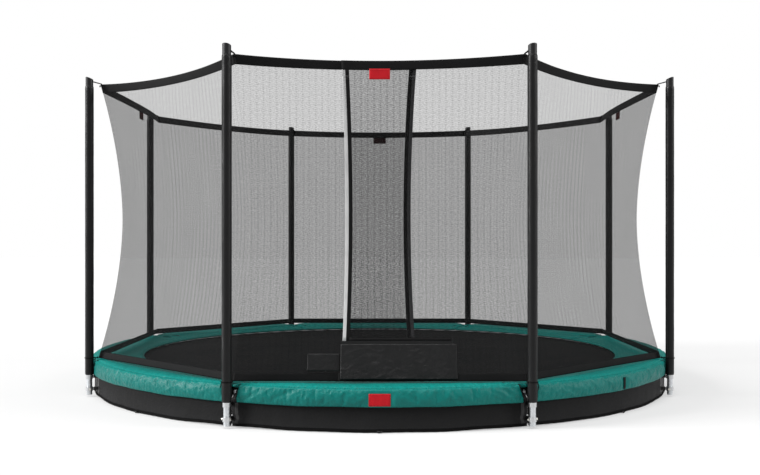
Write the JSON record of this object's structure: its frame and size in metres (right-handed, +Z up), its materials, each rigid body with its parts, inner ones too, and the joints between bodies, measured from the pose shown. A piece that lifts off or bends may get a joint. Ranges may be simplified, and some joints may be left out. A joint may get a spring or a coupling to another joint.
{
  "type": "trampoline",
  "caption": "Round in-ground trampoline with a sprung jumping mat, foam edge pad and skirt, and a waisted safety net with an overlapped entry on padded poles.",
  "frame": {"origin": "on the ground at the centre of the round frame", "axes": "+Z up, out of the ground; the net's entry faces -Y and +X is to the right of someone facing the entry from outside"},
  "size_m": [3.8834, 3.8834, 1.9865],
  "materials": {
    "galvanised_tube": "hot-dip galvanised, satin",
    "galvanised_socket": "galvanised pressing, satin",
    "zinc_fasteners": "zinc plated",
    "spring_steel": "galvanised spring wire",
    "sleeve_foam": "coated cover over foam tube, satin",
    "black_plastic": "moulded, fine grain",
    "skirt_fabric": "coated weave, matt",
    "pad_cover": "coated polyester, semi-gloss with creases",
    "mat_weave": "woven polypropylene",
    "net_mesh": "fine knotted polyester mesh with sewn black bands",
    "apron_fabric": "woven tape and coated fabric, wrinkled",
    "tie_cord": "braided cord",
    "red_tag": "plain sewn tag"
  },
  "bodies": {
    "frame": {"frame_ring_1": "galvanised_tube", "frame_ring_2": "galvanised_tube", "frame_ring_3": "galvanised_tube", "frame_ring_4": "galvanised_tube", "frame_ring_5": "galvanised_tube", "frame_ring_6": "galvanised_tube", "frame_ring_7": "galvanised_tube", "frame_ring_8": "galvanised_tube", "base_ring_1": "galvanised_tube", "base_ring_2": "galvanised_tube", "base_ring_3": "galvanised_tube", "base_ring_4": "galvanised_tube", "frame_posts": "galvanised_tube", "frame_sockets": "galvanised_socket", "frame_bolts": "zinc_fasteners", "pole_1": "galvanised_tube", "pole_2": "galvanised_tube", "pole_3": "galvanised_tube", "pole_4": "galvanised_tube", "pole_5": "galvanised_tube", "pole_6": "galvanised_tube", "pole_7": "galvanised_tube", "pole_8": "galvanised_tube", "pole_sleeve_1": "sleeve_foam", "pole_sleeve_2": "sleeve_foam", "pole_sleeve_3": "sleeve_foam", "pole_sleeve_4": "sleeve_foam", "pole_sleeve_5": "sleeve_foam", "pole_sleeve_6": "sleeve_foam", "pole_sleeve_7": "sleeve_foam", "pole_sleeve_8": "sleeve_foam", "pole_caps": "black_plastic", "pole_brackets": "galvanised_socket", "skirt": "skirt_fabric", "hem_toggles": "black_plastic", "edge_pad_1": "pad_cover", "edge_pad_2": "pad_cover", "edge_pad_3": "pad_cover", "edge_pad_4": "pad_cover", "edge_pad_5": "pad_cover", "edge_pad_6": "pad_cover", "edge_pad_7": "pad_cover", "edge_pad_8": "pad_cover", "springs": "spring_steel", "net_panel_1": "net_mesh", "net_panel_2": "net_mesh", "net_panel_3": "net_mesh", "net_panel_4": "net_mesh", "net_panel_5": "net_mesh", "net_panel_6": "net_mesh", "net_panel_7": "net_mesh", "net_front_left": "net_mesh", "net_front_right": "net_mesh", "entry_apron": "apron_fabric", "net_ties": "tie_cord", "sewn_tags": "red_tag"},
    "mat": {"jumping_mat": "mat_weave", "mat_rings": "zinc_fasteners"},
    "flap_outer": {"entry_flap_outer": "net_mesh"},
    "flap_inner": {"entry_flap_inner": "net_mesh"}
  },
  "joints": [
    {"name": "mat_bounce", "type": "slide", "parent": "frame", "child": "mat", "axis": [0, 0, 1], "range_m": [-0.16, 0], "stiffness_N_per_m": 6000, "springref_m": 0.06, "deforming": ["springs"]},
    {"name": "flap_outer_open", "type": "hinge", "parent": "frame", "child": "flap_outer", "pos_m": [0.385, -1.7096, 0.442], "axis": [-0.3569, 0.0174, 0.934], "range_deg": [0, 55], "stiffness_Nm_per_rad": 1.2, "springref_deg": -20.05},
    {"name": "flap_inner_open", "type": "hinge", "parent": "frame", "child": "flap_inner", "pos_m": [-0.196, -1.6136, 0.442], "axis": [0.2349, 0, 0.972], "range_deg": [0, 50], "stiffness_Nm_per_rad": 1.2, "springref_deg": -20.05}
  ]
}
